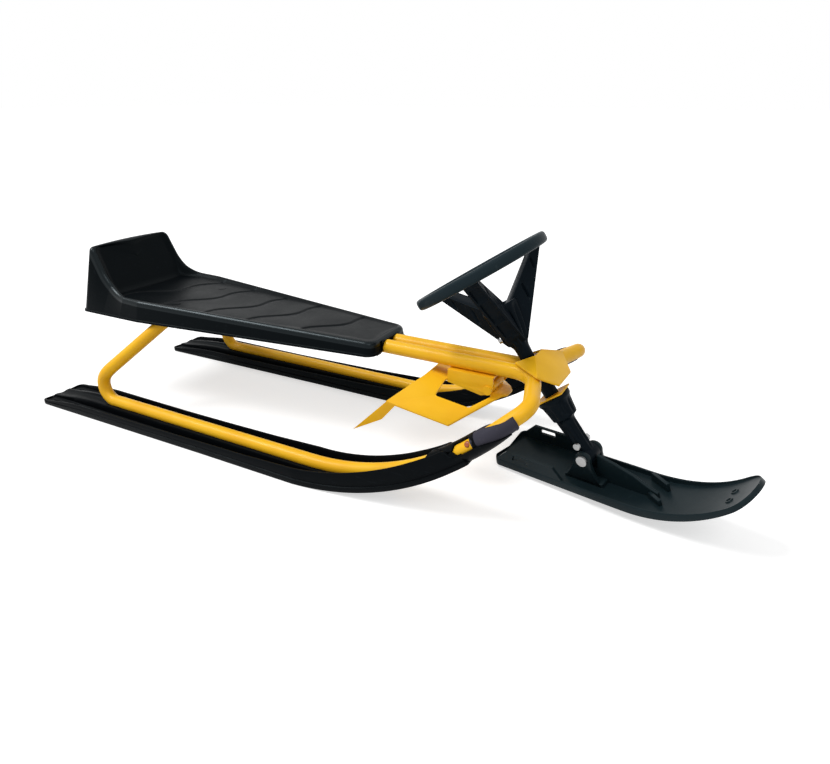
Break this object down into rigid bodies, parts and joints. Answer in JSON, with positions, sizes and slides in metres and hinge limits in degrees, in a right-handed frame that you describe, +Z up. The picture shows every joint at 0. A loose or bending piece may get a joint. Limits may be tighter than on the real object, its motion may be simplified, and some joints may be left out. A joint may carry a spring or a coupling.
{
  "type": "snow sled with a steering wheel, a front ski and a foot brake",
  "caption": "Snow sled: a bent yellow steel tube frame on two black plastic runners, with a moulded black seat, a steering wheel on a raked column that turns a front ski, and a foot brake with two claws.",
  "frame": {"origin": "on the floor, in the middle of the sled's length and width", "axes": "+X forward to the front ski, +Y to the rider's left, +Z up"},
  "size_m": [1.1935, 0.406, 0.3667],
  "materials": {
    "frame_paint": "gloss yellow powder coat",
    "runner_plastic": "black moulded polyethylene",
    "seat_plastic": "black moulded plastic with a satin skin",
    "sleeve_plastic": "dark grey moulded plastic",
    "wheel_plastic": "black moulded plastic",
    "zinc_steel": "zinc plated"
  },
  "bodies": {
    "frame": {"spine_tube_left": "frame_paint", "spine_tube_right": "frame_paint", "side_tube_left": "frame_paint", "side_tube_right": "frame_paint", "runner_left": "runner_plastic", "runner_right": "runner_plastic", "nose_sleeve_left": "sleeve_plastic", "nose_sleeve_right": "sleeve_plastic", "seat": "seat_plastic", "seat_cross_rear": "frame_paint", "seat_cross_front": "frame_paint", "head_sleeve": "zinc_steel", "head_plate": "frame_paint", "head_hood": "frame_paint", "brake_hanger": "frame_paint", "brake_pin": "zinc_steel"},
    "steering": {"steering_wheel": "wheel_plastic", "steering_column": "zinc_steel", "steering_fork": "wheel_plastic", "ski_bolt": "zinc_steel", "stem_bolt": "zinc_steel"},
    "front_ski": {"front_ski": "runner_plastic"},
    "brake": {"brake": "frame_paint"}
  },
  "joints": [
    {"name": "steer", "type": "hinge", "parent": "frame", "child": "steering", "pos_m": [0.316, 0, 0.139], "axis": [-0.6157, 0, 0.788], "range_deg": [-18, 52]},
    {"name": "ski_pitch", "type": "hinge", "parent": "steering", "child": "front_ski", "pos_m": [0.37695, 0, 0.06099], "axis": [-0.2304, -0.9563, -0.18], "range_deg": [-24, 20]},
    {"name": "brake_press", "type": "hinge", "parent": "frame", "child": "brake", "pos_m": [0.228, 0, 0.1405], "axis": [0, -1, 0], "range_deg": [0, 17], "stiffness_Nm_per_rad": 1.5, "springref_deg": -28.65}
  ]
}
